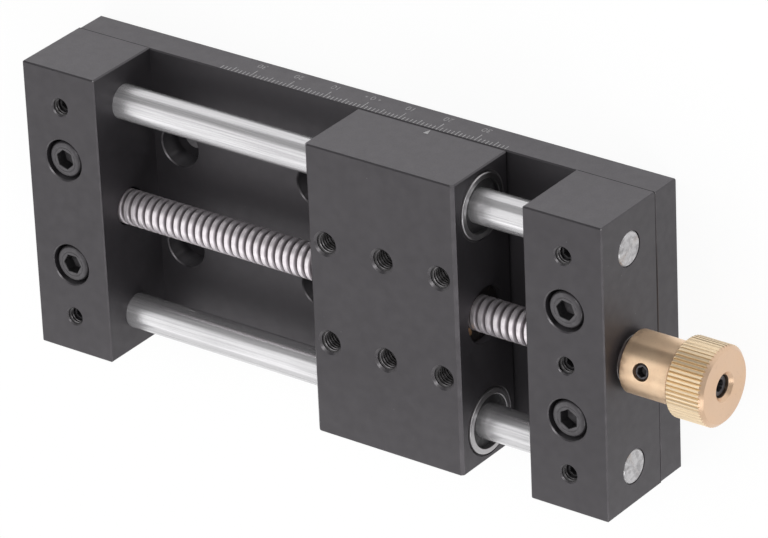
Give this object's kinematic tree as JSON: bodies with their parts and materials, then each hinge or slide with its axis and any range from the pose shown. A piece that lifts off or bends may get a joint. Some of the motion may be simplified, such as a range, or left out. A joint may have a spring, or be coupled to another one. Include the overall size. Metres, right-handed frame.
{
  "type": "manual linear stage",
  "caption": "Manual linear stage: a carriage on round guide shafts between end blocks on a ruled base plate, moved by a knurled brass knob and a lead screw.",
  "frame": {"origin": "centre of the base plate's underside, which is the mounting face", "axes": "+X along the travel towards the knob, +Y towards the ruled edge of the base plate, +Z from the mounting face up to the carriage's table"},
  "size_m": [0.1773, 0.07, 0.0283],
  "materials": {
    "black_anodised": "fine matt black anodising",
    "chromed_shaft": "ground and polished",
    "turned_steel": "turned and rolled",
    "bearing_steel": "ground",
    "black_oxide": "black oxide, lightly oiled",
    "brass": "turned",
    "seal_rubber": "matt",
    "nylon": "matt"
  },
  "bodies": {
    "base": {"base_plate": "black_anodised", "end_block_far": "black_anodised", "end_block_knob": "black_anodised", "guide_shaft_rear": "chromed_shaft", "guide_shaft_front": "chromed_shaft", "block_screws_far": "black_oxide", "block_screws_knob": "black_oxide", "shaft_clamp_screws_far": "black_oxide", "shaft_clamp_screws_knob": "black_oxide", "bearing_outer_ring_far": "bearing_steel", "bearing_outer_ring_knob": "bearing_steel", "bearing_shields_far": "bearing_steel", "bearing_shields_knob": "bearing_steel"},
    "screw": {"lead_screw": "turned_steel", "knob": "brass", "knob_set_screw": "black_oxide", "spacer_washer": "turned_steel", "journal_circlip": "turned_steel", "bearing_inner_ring_far": "bearing_steel", "bearing_inner_ring_knob": "bearing_steel"},
    "carriage": {"carriage_block": "black_anodised", "lead_nut": "brass", "nut_grub_screw": "black_oxide", "bushing_shell_front_far": "bearing_steel", "bushing_shell_front_knob": "bearing_steel", "bushing_shell_rear_far": "bearing_steel", "bushing_shell_rear_knob": "bearing_steel", "bushing_cage_front_far": "nylon", "bushing_cage_front_knob": "nylon", "bushing_cage_rear_far": "nylon", "bushing_cage_rear_knob": "nylon", "bushing_seals_front_far": "seal_rubber", "bushing_seals_front_knob": "seal_rubber", "bushing_seals_rear_far": "seal_rubber", "bushing_seals_rear_knob": "seal_rubber"},
    "lock_pad": {"lock_pad": "nylon"},
    "lock_screw": {"lock_screw": "black_oxide"}
  },
  "joints": [
    {"name": "carriage_travel", "type": "slide", "parent": "base", "child": "carriage", "axis": [1, 0, 0], "range_m": [-0.05705, 0.01705]},
    {"name": "screw_turn", "type": "hinge", "parent": "base", "child": "screw", "pos_m": [0, 0, 0.018], "axis": [1, 0, 0], "range_deg": [-3070, 10270]},
    {"name": "lock_advance", "type": "slide", "parent": "base", "child": "lock_pad", "axis": [0, 0, -1], "range_m": [-0.0014, 0.00045]},
    {"name": "lock_turn", "type": "hinge", "parent": "lock_pad", "child": "lock_screw", "pos_m": [0.067, 0, 0.025], "axis": [0, 0, -1], "range_deg": [-721, 232]}
  ],
  "couplings": [
    {"joint": "screw_turn", "follows": "carriage_travel", "rad_per_m": -3141.6},
    {"joint": "lock_turn", "follows": "lock_advance", "rad_per_m": 8976}
  ]
}
